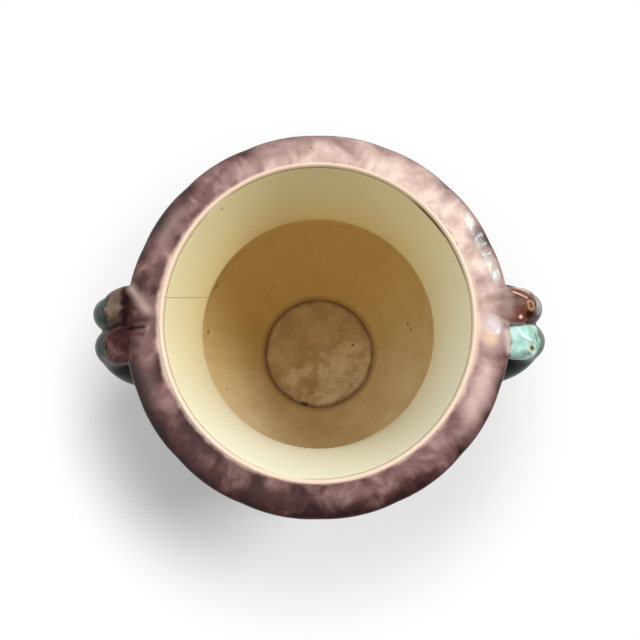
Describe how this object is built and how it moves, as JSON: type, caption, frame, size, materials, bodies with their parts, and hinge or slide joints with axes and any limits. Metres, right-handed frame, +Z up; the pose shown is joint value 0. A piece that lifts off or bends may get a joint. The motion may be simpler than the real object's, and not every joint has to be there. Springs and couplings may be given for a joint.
{
  "type": "two-handled vase",
  "caption": "Ovoid ceramic vase with a broad rolled lip, a cream funnel neck inside and branch handles from lip to shoulder.",
  "frame": {"origin": "middle of the footprint, on the surface the vase stands on", "axes": "+Z up through the mouth, handles at +X and -X, front towards -Y"},
  "size_m": [0.2764, 0.2236, 0.28],
  "materials": {
    "mauve_glaze": "glossy mottled mauve glaze",
    "cream_glaze": "glossy crazed cream glaze",
    "body_glaze": "glossy mauve to sage glaze outside, brown inside",
    "floor_glaze": "dull tan glaze with stains",
    "rust_glaze": "glossy red-brown glaze",
    "green_glaze": "glossy turquoise to dark green glaze",
    "bare_clay": "unglazed clay"
  },
  "bodies": {
    "root": {"foot_ring": "bare_clay", "floor_disc": "floor_glaze", "body": "body_glaze", "collar": "cream_glaze", "lip": "mauve_glaze", "right_back_stem": "rust_glaze", "right_front_stem": "green_glaze", "left_back_stem": "rust_glaze", "left_front_stem": "green_glaze", "right_back_root": "body_glaze", "right_front_root": "body_glaze", "left_back_root": "body_glaze", "left_front_root": "body_glaze", "right_back_bead": "green_glaze", "right_front_bead": "green_glaze", "left_back_bead": "green_glaze", "left_front_bead": "green_glaze", "right_back_tendril": "cream_glaze", "right_front_tendril": "cream_glaze", "left_back_tendril": "cream_glaze", "left_front_tendril": "cream_glaze"}
  },
  "joints": []
}
